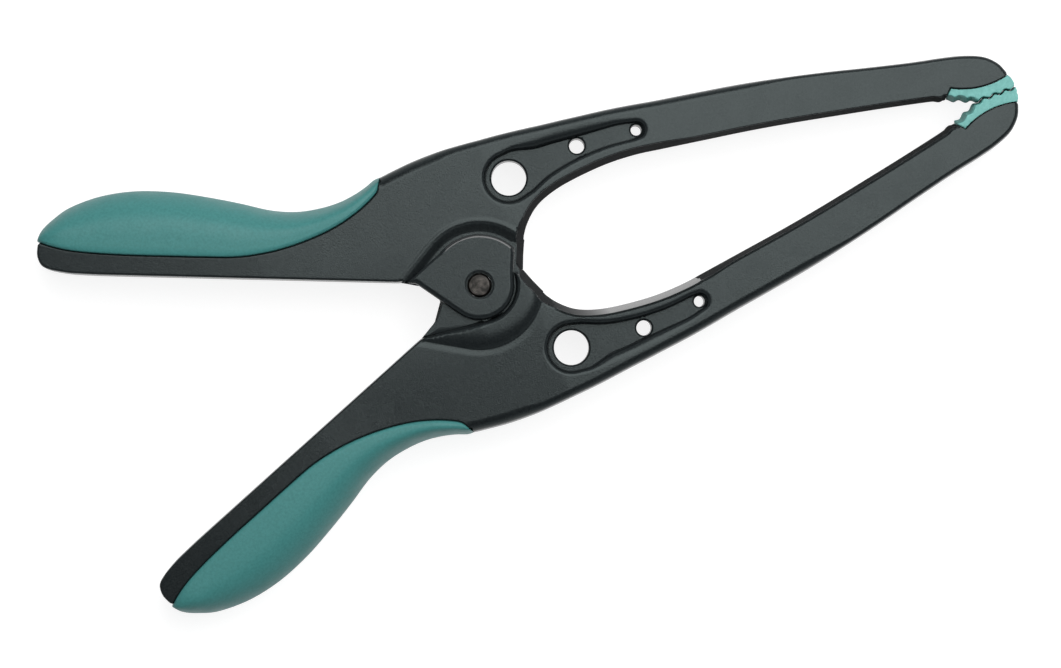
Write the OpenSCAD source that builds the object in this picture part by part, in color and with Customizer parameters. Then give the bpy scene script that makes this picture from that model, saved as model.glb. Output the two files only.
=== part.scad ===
// Spring clamp with long, narrow jaws. Two moulded arms cross at a pivot pin, and a
// torsion spring in the hub presses the toothed jaw pads together. Both arms are one
// moulding: the lower arm is the upper arm turned over about the X axis.
// Millimetres. The origin is on the pivot axis, in the hub face that the clamp lies on.
// +X runs along the clamp to the jaw tips, +Y to the upper arm, and +Z up the pivot.

/* [Hub] */
// Thickness of the hub over its two outer cheeks
hub_t = 24; // [23:0.25:27]
// Thickness of each outer cheek
cheek_t = 2.4; // [2.1:0.1:3]
// Thickness of each inner web
web_t = 3.6; // [2.6:0.1:4]
// Running gap between a cheek and the web beside it
face_gap = 0.2; // [0.1:0.05:0.4]
// Radius of the rounded end of a cheek
cheek_r = 7.9; // [7:0.1:8.3]
// Gap round the end of a cheek in its recess
cheek_gap = 0.9; // [0.5:0.1:1.2]
// Radius of the round web under a cheek
web_r = 9.8; // [9:0.1:10]
// Gap between a web and the wall of the spring room
web_gap = 0.8; // [0.4:0.1:1.2]
// Half of the gap between the two arms at the root of the mouth
root_gap = 0.2; // [0.15:0.05:0.5]

/* [Pivot] */
// Diameter of the pivot pin
pin_d = 5.5; // [4.5:0.1:6]
// Radial play of the upper arm on the pin
pin_play = 0.05; // [0.02:0.01:0.1]
// Radius of the counterbore round each end of the pin
counterbore_r = 3.7; // [3.3:0.1:4.2]
// Depth of each counterbore
counterbore_depth = 0.9; // [0.6:0.1:1.2]
// How far each end of the pin lies below the hub face
pin_sink = 0.3; // [0.2:0.1:0.5]

/* [Spring] */
// Diameter of the spring wire
wire_d = 2; // [1.8:0.05:2.1]
// Mean radius of the coil
coil_r = 6.5; // [6.3:0.1:7.2]
// Whole turns of the coil, before the part turn that sets the legs
whole_turns = 3; // [2:1:3]
// Length of each leg from the coil
leg_length = 30; // [22:1:34]
// Room left round the wire in its channel and at each end of the coil
wire_room = 0.3; // [0.2:0.05:0.4]
// Gap between the coil and the bosses that centre it
boss_gap = 0.7; // [0.5:0.1:1]
// Half of the gap between the ends of the two bosses
boss_end_gap = 0.2; // [0.1:0.1:0.6]

/* [Arms] */
// Thickness of an arm beside the hub
body_t = 22; // [21:0.25:22.5]
// Thickness of an arm at the jaw tip
tip_t = 13; // [11:0.5:16]
// Distance from the pivot axis to the jaw tip
jaw_reach = 131; // [120:1:145]
// Distance from the pivot axis to the butt of a handle, along its inner edge
handle_reach = 101.7; // [95:0.5:112]
// Angle between the inner edge of a handle and the X axis, with the jaws shut
handle_angle = 21.7; // [21.7:0.1:24]
// Rounding of the arm's edges
edge_r = 1.1; // [0.6:0.1:1.5]
// Rounding of the edges at the root of the mouth
root_edge_r = 1.6; // [1:0.1:2]

/* [Holes] */
// Radius of the large hole
big_hole_r = 4; // [3:0.1:4.5]
// Radius of the middle hole
mid_hole_r = 1.75; // [1.2:0.05:2.4]
// Radius of the small hole
small_hole_r = 1.25; // [0.9:0.05:1.6]
// Thickness left between the two recesses round the holes
floor_t = 15.5; // [12:0.5:17]
// Rise of the recess's sloped wall, measured level
wall_slope = 1.2; // [0.8:0.1:1.6]

/* [Grips] */
// Thickness of the grip at its widest
grip_t = 24; // [22.5:0.25:24]
// Thickness of the tongue that carries the grip
tongue_t = 12; // [8:0.5:16]
// Thickness of the grip over the end of the tongue
grip_wall = 4.5; // [3:0.5:6]

/* [Jaw pads] */
// Width of each jaw pad
pad_w = 13; // [10:0.5:15]
// Length of the pad along the closed jaw
pad_length = 15; // [13:0.5:17]
// Radius of the arm's nose under the pad
nose_r = 18; // [16:0.5:24]
// Pitch of the teeth
tooth_pitch = 2.6; // [2:0.1:3.4]
// Height of the teeth above and below their middle line
tooth_h = 0.3; // [0.1:0.05:0.4]
// Gap between the closed pads
bite_gap = 0.36; // [0.3:0.02:0.6]
// Gap between a pad and its seat
seat_gap = 0.05; // [0.02:0.01:0.15]
// Thickness of the key that holds the pad
key_t = 4; // [3:0.5:5]
// Length of the key
key_length = 7; // [5:0.5:9]
// Depth of the key in the arm
key_depth = 2.6; // [1.5:0.1:3]

/* [Hidden] */

mid_z = hub_t / 2;
recess_r = cheek_r + cheek_gap;
room_r = web_r + web_gap;
pin_r = pin_d / 2;
// Levels in an upper arm, counted up from the hub face that the clamp lies on
recess_top = cheek_t + face_gap;
web_top = recess_top + web_t;
room_top = hub_t - cheek_t;
far_web_bottom = hub_t - web_top - face_gap;
body_bottom = mid_z - body_t / 2;
body_top = mid_z + body_t / 2;
// More than any cut needs to run past a face
past = 2;
round_fn = 96;

// ---- Curves ----------------------------------------------------------------------

function mix(a, b, t) = a + (b - a) * t;

// A point at share t of span i of a smooth curve through the points p
function curve_point(p, i, t) =
    let (
        last = len(p) - 1,
        a = p[max(i - 1, 0)],
        b = p[i],
        c = p[min(i + 1, last)],
        d = p[min(i + 2, last)]
    )
    0.5 * (2 * b + (c - a) * t + (2 * a - 5 * b + 4 * c - d) * t * t
        + (3 * b - a - 3 * c + d) * t * t * t);

// The smooth curve through the points p, with n steps to a span
function curve(p, n) = [
    for (i = [0 : len(p) - 2]) for (k = [0 : n - 1]) curve_point(p, i, k / n),
    p[len(p) - 1]
];

function arc(centre, r, from, to, steps) = [
    for (k = [0 : steps])
        let (a = mix(from, to, k / steps))
        centre + r * [cos(a), sin(a)]
];

function unit(v) = v / norm(v);

function left_of(v) = [-v[1], v[0]];

// A closed, counter-clockwise outline drawn in by d, with its corners mitred
function drawn_in(p, d) = [
    for (i = [0 : len(p) - 1])
        let (
            n = len(p),
            before = left_of(unit(p[i] - p[(i + n - 1) % n])),
            after = left_of(unit(p[(i + 1) % n] - p[i]))
        )
        p[i] + d * (before + after) / (1 + before * after)
];

function at_level(p, z) = [for (q = p) [q[0], q[1], z]];

// A closed solid through rings that all have the same number of points. The rings run
// counter-clockwise seen from the end that the list runs towards.
module ring_solid(rings) {
    n = len(rings[0]);
    last = (len(rings) - 1) * n;
    points = [for (r = rings) each r];
    sides = [
        for (i = [0 : len(rings) - 2]) for (k = [0 : n - 1])
            let (
                a = i * n + k,
                b = i * n + (k + 1) % n
            )
            each [[a, a + n, b + n], [a, b + n, b]]
    ];
    first_end = [for (k = [0 : n - 1]) k];
    last_end = [for (k = [n - 1 : -1 : 0]) last + k];
    polyhedron(points, concat(sides, [first_end, last_end]));
}

// ---- Outline of the upper arm ------------------------------------------------------

// A point on the upper handle: s along its inner edge from the pivot, n out from it
function on_handle(s, n) = [
    -s * cos(handle_angle) + n * sin(handle_angle),
    s * sin(handle_angle) + n * cos(handle_angle)
];

// Handle stations from the butt to the hub. Each row gives the distance from the
// butt, for the stations near it, or from the pivot, and the seam, crown and inner
// edge there: [seam s, seam n, crown s, crown n, inner s, inner n].
butt_rows = [
    [0.3, 7.4, 0.1, 8.0, 0.5, 2.2],
    [1.3, 7.1, 0.9, 10.2, 1.8, 0.7],
    [3.7, 6.4, 3.1, 12.6, 4.2, 0.3],
    [8.0, 5.6, 7.1, 15.6, 8.7, 0],
    [14.7, 5.1, 14.2, 18.4, 14.7, 0],
    [22.7, 4.9, 22.2, 19.75, 22.7, 0],
    [30.7, 4.9, 30.7, 19.7, 30.7, 0]
];
waist_rows = [
    [63, 4.9, 63, 18.75, 63, 0],
    [55.5, 5.1, 55.5, 17.5, 55.5, 0],
    [48.5, 6.3, 48.5, 16.1, 48.5, 0],
    [42.5, 8.15, 42.5, 15.9, 43, 0],
    [37, 10.5, 37.3, 16.8, 38, 0],
    [32.5, 13, 33, 18.2, 33.5, 0],
    [28.8, 15.7, 29.6, 20, 30, 0],
    [26, 18.3, 27, 21.8, 26.5, 0],
    [24.1, 20.6, 24.9, 23.6, 23, 0],
    [23.7, 22.6, 23.9, 24.1, 20.5, 0]
];
handle_rows = concat(
    [
        for (r = butt_rows) [
            handle_reach - r[0], r[1],
            handle_reach - r[2], r[3],
            handle_reach - r[4], r[5]
        ]
    ],
    waist_rows
);
handle_steps = 2;
seam = curve([for (r = handle_rows) on_handle(r[0], r[1])], handle_steps);
grip_crown = curve([for (r = handle_rows) on_handle(r[2], r[3])], handle_steps);
handle_inner = curve([for (r = handle_rows) on_handle(r[4], r[5])], handle_steps);

// Hub stations: the inner edge turns in round the pivot and out to the mouth
hub_arc = arc([0, 0], cheek_r + 0.2, 180 - handle_angle, 5, 6);
mouth_root = [room_r, root_gap];
hub_inner = concat([on_handle(19.5, 0), on_handle(16, 0), on_handle(12, 0)], hub_arc);
hub_outer = [
    [-12.9, 31.25], [-10, 31.6], [-6, 32], [-3, 32.15], [0, 32.2],
    [3, 32.15], [6, 31.95], [9, 31.7], [11.5, 31.45], [14.5, 31.2]
];

// Jaw stations: mouth edge and outer edge, near the hub, along the jaw as a share of
// its length, and back from the tip
root_rows = [
    [11.7, 3, 20, 30.6],
    [13, 5.8, 23, 30.2],
    [15, 9.4, 26, 29.8],
    [17.5, 11.8, 28.5, 29.5],
    [20.5, 13.5, 31, 29.2],
    [25, 14.85, 34, 28.8],
    [31, 15.7, 38, 28.3],
    [37.5, 16.1, 43, 27.6],
    [44, 15.8, 48, 26.75]
];
jaw_start = 50;
jaw_rows = [
    [0, 14.95, 0.03, 25.95],
    [0.12, 13.5, 0.145, 24.45],
    [0.25, 11.9, 0.27, 22.75],
    [0.37, 10.2, 0.385, 20.85],
    [0.5, 8.15, 0.51, 18.55],
    [0.62, 6.2, 0.63, 16.1],
    [0.74, 4.1, 0.75, 13.75]
];
tip_rows = [
    [15, 2.7, 13.5, 12.35],
    [10, 1.6, 8.5, 11.05],
    [5, 1.3, 4.4, 9.3],
    [2.2, 1.3, 1.8, 6.8],
    [1, 1.4, 0.7, 4.4],
    [0.8, 1.6, 0.4, 3]
];
mouth_edge = curve(
    concat(
        [mouth_root],
        [for (r = root_rows) [r[0], r[1]]],
        [for (r = jaw_rows) [mix(jaw_start, jaw_reach, r[0]), r[1]]],
        [for (r = tip_rows) [jaw_reach - r[0], r[1]]]
    ),
    2
);
jaw_outer = curve(
    concat(
        [[17, 30.95]],
        [for (r = root_rows) [r[2], r[3]]],
        [for (r = jaw_rows) [mix(jaw_start, jaw_reach, r[2]), r[3]]],
        [for (r = tip_rows) [jaw_reach - r[2], r[3]]]
    ),
    2
);

inner_edge = concat(handle_inner, hub_inner, mouth_edge);
outer_edge = concat(seam, hub_outer, jaw_outer);

// The arm keeps its thickness to the hub's rim and thins steadily to the jaw tip
function half_t(x) =
    x < room_r ? body_t / 2 : mix(body_t, tip_t, (x - room_r) / (jaw_reach - room_r)) / 2;

// ---- Solids of the upper arm -------------------------------------------------------

// One cross-section of the arm, with each edge rounded in two facets
function arm_ring(inner, outer, half, inner_r, outer_r) =
    let (
        along = unit(outer - inner),
        // Point at the inner or outer edge, by its distance in and its level
        at = function (edge, in, z) [
            (edge == 0 ? inner + in * along : outer - in * along)[0],
            (edge == 0 ? inner + in * along : outer - in * along)[1],
            mid_z + z
        ],
        bevel = 1 - sqrt(0.5)
    )
    [
        at(1, 0, -half + outer_r),
        at(1, 0, half - outer_r),
        at(1, bevel * outer_r, half - bevel * outer_r),
        at(1, outer_r, half),
        at(0, inner_r, half),
        at(0, bevel * inner_r, half - bevel * inner_r),
        at(0, 0, half - inner_r),
        at(0, 0, -half + inner_r),
        at(0, bevel * inner_r, -half + bevel * inner_r),
        at(0, inner_r, -half),
        at(1, outer_r, -half),
        at(1, bevel * outer_r, -half + bevel * outer_r)
    ];

// Rounding at the mouth edge, fuller at the root
function mouth_edge_r(x) = x > 0 && x < jaw_start ? root_edge_r : edge_r;

module arm_body() {
    count = len(inner_edge);
    core = len(seam);
    rings = [
        for (i = [0 : count - 1])
            let (
                middle = (inner_edge[i] + outer_edge[i]) / 2,
                from_end = min(i, count - 1 - i),
                half = half_t(middle[0]) - max(0, 1.2 - 0.6 * from_end)
            )
            arm_ring(
                inner_edge[i], outer_edge[i], half,
                mouth_edge_r(inner_edge[i][0]),
                i < core ? 0.3 : edge_r
            )
    ];
    ring_solid(rings);
}

// Outline of the cheek: round end, tangent sides and a round shoulder
cheek_top_r = 11.2;
cheek_outline = concat(
    arc([0, 0], cheek_r, 215, 339, 16),
    arc([0, 0], cheek_top_r, 26, 120, 14),
    [[-13.4, 5.3]]
);

// A cheek at the top face, with its rim bevelled
module cheek() {
    rim = 0.8;
    ring_solid([
        at_level(cheek_outline, room_top),
        at_level(cheek_outline, hub_t - rim),
        at_level(drawn_in(cheek_outline, rim), hub_t)
    ]);
}

// The groove between the cheek's shoulder and the arm's face: round as far as
// groove_turn, then straight to the handle's inner edge
groove_depth = 0.9;
groove_r = 13.9;
groove_turn = 121;
groove_run = 14;
groove_profile = [
    [cheek_top_r - 1, body_top - groove_depth],
    [cheek_top_r - 1, hub_t + past],
    [groove_r, hub_t + past],
    [groove_r, body_top],
    [cheek_top_r + 0.7, body_top - groove_depth]
];

// The profile at angle a, or run further along its tangent there
function groove_ring(a, run) = [
    for (p = groove_profile) [
        p[0] * cos(a) - run * sin(a),
        p[0] * sin(a) + run * cos(a),
        p[1]
    ]
];

module groove() {
    steps = 20;
    ring_solid(concat(
        [for (i = [0 : steps]) groove_ring(mix(10, groove_turn, i / steps), 0)],
        [groove_ring(groove_turn, groove_run)]
    ));
}

// The straight side of the recess that takes the other arm's cheek and web. It starts a
// little inside the round side, near an angle of side_from, and runs to the handle's
// inner edge.
side_from = 100;
side_start = (recess_r - 0.02) * [cos(side_from), sin(side_from)];
side_end = on_handle(17.9, 0.15);
module beside_hub() {
    beyond = side_end + 8 * unit(side_end - side_start);
    polygon([side_start, beyond, [beyond[0], -16], [0, -16], [0, 0]]);
}

// Recess in the underside for the lower arm's cheek
collar_r = 11.6;
collar_wall = 0.4;
wall_top = recess_top - collar_wall;

// A section across the straight side: p gives distances out from it, and levels
function side_section(base, out, p) = [
    for (q = p) [base[0] + q[0] * out[0], base[1] + q[0] * out[1], q[1]]
];
side_out = left_of(unit(side_start - side_end));
tail_end = mix(side_start, side_end, 0.8);
slope_start = recess_r * [cos(side_from - 6), sin(side_from - 6)];

module cheek_recess() {
    translate([0, 0, -past])
        cylinder(r = recess_r, h = recess_top + past, $fn = round_fn);
    translate([0, 0, -past])
        linear_extrude(recess_top + past)
            beside_hub();
    rotate([0, 0, -12])
        rotate_extrude(angle = side_from + 12, $fn = round_fn)
            polygon([
                [1, -past],
                [collar_r, -past],
                [collar_r, 0],
                [recess_r, wall_top],
                [1, wall_top]
            ]);
    // The slope above the wall dies away along the straight side
    rise = collar_r - recess_r - 0.3;
    ring_solid([
        side_section(tail_end, side_out, [
            [-1, -past], [0.3, -past], [0.3, body_bottom - 0.3], [-0.2, body_bottom + 0.1],
            [-1, body_bottom + 0.1]
        ]),
        side_section(slope_start, unit(slope_start), [
            [-1.3, -past], [rise, -past], [rise, 0.1], [-0.3, wall_top - 0.1],
            [-1.3, wall_top - 0.1]
        ])
    ]);
}

// The raised collar round that recess
collar_foot_r = 14.4;
tail_level = 0.4;
module collar_profile() {
    polygon([
        [recess_r - 0.1, recess_top],
        [recess_r - 0.1, 0],
        [collar_r + 0.5, 0],
        [collar_foot_r, body_bottom],
        [collar_foot_r, recess_top]
    ]);
}

module collar() {
    difference() {
        union() {
            rotate([0, 0, 4])
                rotate_extrude(angle = side_from - 4, $fn = round_fn)
                    collar_profile();
            // The tail of the collar, a lower step along the straight side
            translate([0, 0, tail_level])
                linear_extrude(recess_top - tail_level)
                    polygon([[-1, 8.4], [-1.3, 12.4], [-3.8, 12], [-14.2, 7.6]]);
        }
        // Open to the mouth
        translate([0, 0, -past])
            linear_extrude(recess_top + 2 * past)
                polygon([
                    [room_r - 0.8, 0], [10.9, 3], [12.2, 5.8], [14.3, 9.6], [30, 9.6], [30, 0]
                ]);
    }
}

// The round web, with the fillet where it meets the handle
web_fillet = [
    [-8, 2.5], [-9.4, 0.4], [-9.9, 1.1], [-10.7, 2.4], [-11.9, 3.7], [-13.2, 4.75],
    on_handle(15.6, -0.25), on_handle(17.4, 0.3), [-14, 9], [-9, 9]
];
module web() {
    translate([0, 0, recess_top])
        cylinder(r = web_r, h = web_t, $fn = round_fn);
    translate([0, 0, recess_top])
        linear_extrude(web_t)
            polygon(web_fillet);
}

// Boss on the web that centres the coil
module boss() {
    translate([0, 0, recess_top])
        cylinder(r = coil_r - wire_d / 2 - boss_gap, h = mid_z - boss_end_gap - recess_top,
            $fn = round_fn);
}

module spring_room() {
    translate([0, 0, web_top])
        cylinder(r = room_r, h = room_top - web_top, $fn = round_fn);
    // Swept by the lower arm's web
    translate([0, 0, far_web_bottom])
        linear_extrude(room_top - far_web_bottom)
            beside_hub();
}

// Middle of the wire where it runs in the upper arm
leg_z = web_top + wire_room + wire_d / 2;

// Channel for the spring's leg, along the handle
module leg_channel() {
    half = wire_d / 2 + wire_room;
    rotate([0, 0, 180 - handle_angle])
        translate([0, -coil_r - half, web_top])
            cube([leg_length + wire_room, 2 * half, leg_z + half - web_top]);
}

// Holes, as [x, y, radius]
big_hole = [14.75, 20.7, big_hole_r];
mid_hole = [31.9, 22.2, mid_hole_r];
small_hole = [45.9, 20.9, small_hole_r];

// Rim of the recess round the holes, with its round ends about the outer two
big_rim = 2.7;
small_rim = 1.95;
well_outline = concat(
    arc([big_hole[0], big_hole[1]], big_hole_r + big_rim, 100, 285, 12),
    curve([[19.5, 15], [24.3, 16.9], [30.8, 18.1], [38, 18.4], [44.5, 17.8]], 2),
    arc([small_hole[0], small_hole[1]], small_hole_r + small_rim, -75, 72, 7),
    curve([[42, 25.4], [33.6, 27], [25, 27.8], [17.7, 27.8]], 2)
);

// The recess on the upper side: a level floor and sloped walls
module well() {
    floor_z = mid_z + floor_t / 2;
    ring_solid([
        at_level(drawn_in(well_outline, wall_slope), floor_z),
        at_level(well_outline, body_top - 0.5),
        at_level(well_outline, body_top + past)
    ]);
}

// ---- Jaw pad ------------------------------------------------------------------------

// The back of the pad is hollow, and the arm's nose is a round of the same centre
nose_centre = [jaw_reach - 5.4, 2.7 + nose_r];
pad_back = jaw_reach - pad_length;

// Cutting outline of the seat, below the nose
module pad_seat_outline(gap) {
    difference() {
        polygon([
            [pad_back + 1.4 - gap, 6 + gap],
            [pad_back - gap, 3.6],
            [pad_back - gap, -3],
            [jaw_reach + 4, -3],
            [jaw_reach + 4, 6 + gap]
        ]);
        translate(nose_centre)
            circle(r = nose_r, $fn = 2 * round_fn);
    }
}

module pad_seat() {
    translate([0, 0, -past])
        linear_extrude(hub_t + 2 * past)
            pad_seat_outline(0);
}

// Middle line of the teeth: flat on the bite, then rising into the mouth
bite_start = 9.5;
rise_slope = 0.5;
function tooth_line(back) = max(0, back - bite_start) * rise_slope;

// The biting edge from the tip inwards. The two pads' teeth are half a pitch apart, so
// a crest of one stands in a valley of the other.
function teeth(turn) = [
    for (back = [0 : tooth_pitch / 8 : pad_length - 0.2])
        [
            jaw_reach - back,
            bite_gap / 2 + tooth_line(back) + turn * tooth_h * cos(360 * back / tooth_pitch)
        ]
];

module pad_key(gap) {
    // Square to the nose, on the line from the bite to the nose's centre
    translate([nose_centre[0] - key_length / 2 - gap, 0, mid_z - key_t / 2 - gap])
        cube([key_length + 2 * gap, 2.7 + key_depth + gap, key_t + 2 * gap]);
}

module jaw_pad(turn) {
    color([0.45, 0.68, 0.65]) {
        translate([0, 0, mid_z - pad_w / 2])
            linear_extrude(pad_w)
                difference() {
                    polygon(concat(
                        teeth(turn),
                        [
                            [pad_back + seat_gap, 3.4],
                            [pad_back + 1.4 - seat_gap, 5.6],
                            [jaw_reach - 8, 5.6],
                            [jaw_reach - 0.6, 3.2],
                            [jaw_reach, 1.2]
                        ]
                    ));
                    translate(nose_centre)
                        circle(r = nose_r + seat_gap, $fn = 2 * round_fn);
                }
        difference() {
            pad_key(0);
            translate([nose_centre[0] - key_length, 0, 0])
                cube([2 * key_length, 2, hub_t]);
        }
    }
}

// ---- Grip ---------------------------------------------------------------------------

// Tongue of the arm inside the grip, from inside the core to under the crown
tongue_rows = [for (i = [3 : 12]) handle_rows[i]];
module grip_tongue() {
    inner = [for (r = tongue_rows) on_handle(r[0], 2)];
    crown = [for (r = tongue_rows) on_handle(r[2], r[3] - grip_wall)];
    count = len(tongue_rows);
    translate([0, 0, mid_z - tongue_t / 2])
        linear_extrude(tongue_t)
            polygon(concat(inner, [for (i = [count - 1 : -1 : 0]) crown[i]]));
}

// Share of the grip's half thickness at each share of its depth from the seam
grip_profile = [
    [0, 0.94], [0.12, 0.99], [0.34, 1], [0.58, 0.94], [0.78, 0.78], [0.92, 0.52], [1, 0.18]
];

function grip_ring(inner, crown, half) = concat(
    [
        for (p = grip_profile)
            let (q = mix(inner, crown, p[0]))
            [q[0], q[1], mid_z - half * p[1]]
    ],
    [
        for (i = [len(grip_profile) - 1 : -1 : 0])
            let (
                p = grip_profile[i],
                q = mix(inner, crown, p[0])
            )
            [q[0], q[1], mid_z + half * p[1]]
    ]
);

module grip() {
    count = len(seam);
    rings = [
        for (i = [0 : count - 1])
            let (
                butt_fall = max(0, 3 - 0.75 * i),
                front_fall = max(0, 1 - 0.1 * (count - 1 - i))
            )
            grip_ring(seam[i], grip_crown[i], grip_t / 2 - butt_fall - front_fall)
    ];
    color([0.25, 0.52, 0.5])
        difference() {
            ring_solid(rings);
            grip_tongue();
        }
}

// ---- Arms ---------------------------------------------------------------------------

module arm(bore_r) {
    color([0.24, 0.26, 0.27])
        difference() {
            union() {
                difference() {
                    arm_body();
                    groove();
                    spring_room();
                    cheek_recess();
                }
                difference() {
                    collar();
                    cheek_recess();
                }
                cheek();
                web();
                boss();
                grip_tongue();
            }
            leg_channel();
            well();
            translate([0, 0, hub_t])
                mirror([0, 0, 1])
                    well();
            pad_seat();
            pad_key(seat_gap);
            // Pin bore, with a counterbore in the cheek
            translate([0, 0, -past])
                cylinder(r = bore_r, h = hub_t + 2 * past, $fn = round_fn);
            translate([0, 0, hub_t - counterbore_depth])
                cylinder(r = counterbore_r, h = counterbore_depth + past, $fn = round_fn);
            for (h = [big_hole, mid_hole, small_hole])
                translate([h[0], h[1], -past])
                    cylinder(r = h[2], h = hub_t + 2 * past, $fn = round_fn);
        }
}

// Turns a piece of the upper arm over to the lower one
module turned_over() {
    translate([0, 0, hub_t])
        rotate([180, 0, 0])
            children();
}

// ---- Pin and spring -----------------------------------------------------------------

module pin() {
    tip_bevel = 0.3;
    color([0.55, 0.5, 0.45]) {
        translate([0, 0, pin_sink + tip_bevel])
            cylinder(r = pin_r, h = hub_t - 2 * (pin_sink + tip_bevel), $fn = round_fn);
        translate([0, 0, pin_sink])
            cylinder(r1 = pin_r - tip_bevel, r2 = pin_r, h = tip_bevel, $fn = round_fn);
        translate([0, 0, hub_t - pin_sink - tip_bevel])
            cylinder(r1 = pin_r, r2 = pin_r - tip_bevel, h = tip_bevel, $fn = round_fn);
    }
}

// The coil winds down from the upper arm's leg to the lower arm's, and both legs run
// along the handles, a coil radius out from their inner edges
coil_from = 90 - handle_angle;
coil_turn = -2 * coil_from - 360 * whole_turns;
coil_rise = hub_t - 2 * leg_z;
rings_per_turn = 12;
coil_rings = ceil(-coil_turn / 360 * rings_per_turn);
function leg_end(side, z) =
    let (p = on_handle(leg_length, coil_r))
    [p[0], side * p[1], z];
wire_path = concat(
    [leg_end(1, leg_z)],
    [
        for (i = [0 : coil_rings])
            let (a = coil_from + coil_turn * i / coil_rings)
            [coil_r * cos(a), coil_r * sin(a), leg_z + coil_rise * i / coil_rings]
    ],
    [leg_end(-1, hub_t - leg_z)]
);

// Least gap between two turns, measured between the points of the wire's middle
least_gap = min([
    for (i = [1 : coil_rings + 1]) for (j = [i + rings_per_turn / 2 : coil_rings + 1])
        if (j <= coil_rings + 1) norm(wire_path[j] - wire_path[i])
]) - wire_d;
echo(str("least gap between turns: ", least_gap, " mm"));

wire_sides = 8;
module spring() {
    last = len(wire_path) - 1;
    rings = [
        for (i = [0 : last])
            let (
                ahead = unit(wire_path[min(i + 1, last)] - wire_path[max(i - 1, 0)]),
                side = unit(cross(ahead, [0, 0, 1])),
                up = cross(side, ahead)
            )
            [
                for (k = [0 : wire_sides - 1])
                    let (a = 360 * (k + 0.5) / wire_sides)
                    wire_path[i] - wire_d / 2 * (cos(a) * side - sin(a) * up)
            ]
    ];
    color([0.6, 0.61, 0.62])
        ring_solid(rings);
}

module lower_arm() { turned_over() arm(pin_r); }
module upper_arm() { arm(pin_r + pin_play); }
module lower_grip() { turned_over() grip(); }
module upper_grip() { grip(); }
module lower_jaw_pad() { turned_over() jaw_pad(-1); }
module upper_jaw_pad() { jaw_pad(1); }
module pivot_pin() { pin(); }
module torsion_spring() { spring(); }

lower_arm();
upper_arm();
lower_grip();
upper_grip();
lower_jaw_pad();
upper_jaw_pad();
pivot_pin();
torsion_spring();
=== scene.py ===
"""Spring clamp: the visible pieces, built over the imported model's frame."""

import math

import bpy
import numpy as np
from mathutils.geometry import delaunay_2d_cdt
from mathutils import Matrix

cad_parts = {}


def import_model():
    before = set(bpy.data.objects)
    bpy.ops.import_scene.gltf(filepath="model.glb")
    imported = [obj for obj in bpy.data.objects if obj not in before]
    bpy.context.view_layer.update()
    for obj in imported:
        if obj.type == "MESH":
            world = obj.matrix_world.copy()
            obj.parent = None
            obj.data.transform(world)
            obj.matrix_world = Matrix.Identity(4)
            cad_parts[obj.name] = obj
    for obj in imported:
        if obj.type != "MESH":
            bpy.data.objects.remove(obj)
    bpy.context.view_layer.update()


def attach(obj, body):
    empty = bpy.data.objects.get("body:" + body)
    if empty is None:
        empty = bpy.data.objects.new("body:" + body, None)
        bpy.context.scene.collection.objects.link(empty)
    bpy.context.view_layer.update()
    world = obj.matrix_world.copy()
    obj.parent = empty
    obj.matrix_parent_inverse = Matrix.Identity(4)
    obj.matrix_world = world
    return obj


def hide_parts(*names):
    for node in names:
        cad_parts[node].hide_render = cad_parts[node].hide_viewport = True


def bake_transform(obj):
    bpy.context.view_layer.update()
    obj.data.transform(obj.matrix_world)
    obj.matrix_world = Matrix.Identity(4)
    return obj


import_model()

# Shapes are worked out in millimetres, for the upper arm: +X to the jaw tips, +Y to the
# upper arm, the pivot at the origin. A height is measured out from the middle plane.
MM = 0.001
MID = 12.0
HUB_HALF = 12.0
BODY_HALF = 11.0
TIP_HALF = 6.5
JAW_REACH = 131.0
HANDLE_ANGLE = math.radians(21.7)

# The hub: the room for the coil, whose round wall runs between two angles in degrees, the
# recess for the other arm's cheek, the round web, the pin, its tight hole and its loose one
ROOM_R = 10.6
ROOM_START, ROOM_END = 28, 131.3
RECESS_R = 8.3
WEB_R = 9.8
PIN_R = 2.75
PIN_BORE_R = 2.78
SLOT_R = 3.12

# Heights of the hub's layers
CHEEK_FOOT = 9.6
WEB_TOP, WEB_FOOT = 9.4, 5.8
WEDGE_TOP, WEDGE_FOOT = 5.6, -5.9

# Slots of the arm's materials. The smooth one paints a highlight on the cheek's shoulder with a
# lighter tone and stronger reflection. The rough one paints shade on walls, with its reflection
# turned down
GRAINED, SMOOTH_HIGHLIGHT, ROUGH_SHADED, POLISHED = range(4)


# ---- Plane curves --------------------------------------------------------------------


def curve(points, n):
    """Smooth curve through the points, with n steps to a span."""
    p = np.asarray(points, float)
    last = len(p) - 1
    out = []
    for i in range(last):
        a, b, c, d = p[max(i - 1, 0)], p[i], p[i + 1], p[min(i + 2, last)]
        for t in np.arange(n) / n:
            out.append(
                0.5
                * (
                    2 * b
                    + (c - a) * t
                    + (2 * a - 5 * b + 4 * c - d) * t**2
                    + (3 * b - a - 3 * c + d) * t**3
                )
            )
    out.append(p[last])
    return np.array(out)


def arc(centre, r, start, end, steps):
    a = np.radians(np.linspace(start, end, steps + 1))
    return np.asarray(centre, float) + r * np.stack([np.cos(a), np.sin(a)], axis=1)


def even(points, step):
    """The same line with points about a step apart."""
    p = np.asarray(points, float)
    length = np.concatenate([[0], np.cumsum(np.linalg.norm(np.diff(p, axis=0), axis=1))])
    n = max(1, int(round(length[-1] / step)))
    at = np.linspace(0, length[-1], n + 1)
    return np.stack([np.interp(at, length, p[:, k]) for k in (0, 1)], axis=1)


def chain(*lines):
    """Lines joined end to end, without double points."""
    p = np.concatenate([np.asarray(line, float).reshape(-1, 2) for line in lines])
    keep = np.ones(len(p), bool)
    keep[1:] = np.linalg.norm(np.diff(p, axis=0), axis=1) > 1e-4
    return p[keep]


def closed(*lines):
    p = chain(*lines)
    return p[:-1] if np.linalg.norm(p[0] - p[-1]) < 1e-4 else p


def along(line):
    """Unit direction of the line at each of its points."""
    d = np.gradient(line, axis=0)
    return d / np.maximum(np.linalg.norm(d, axis=1, keepdims=True), 1e-9)


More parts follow.
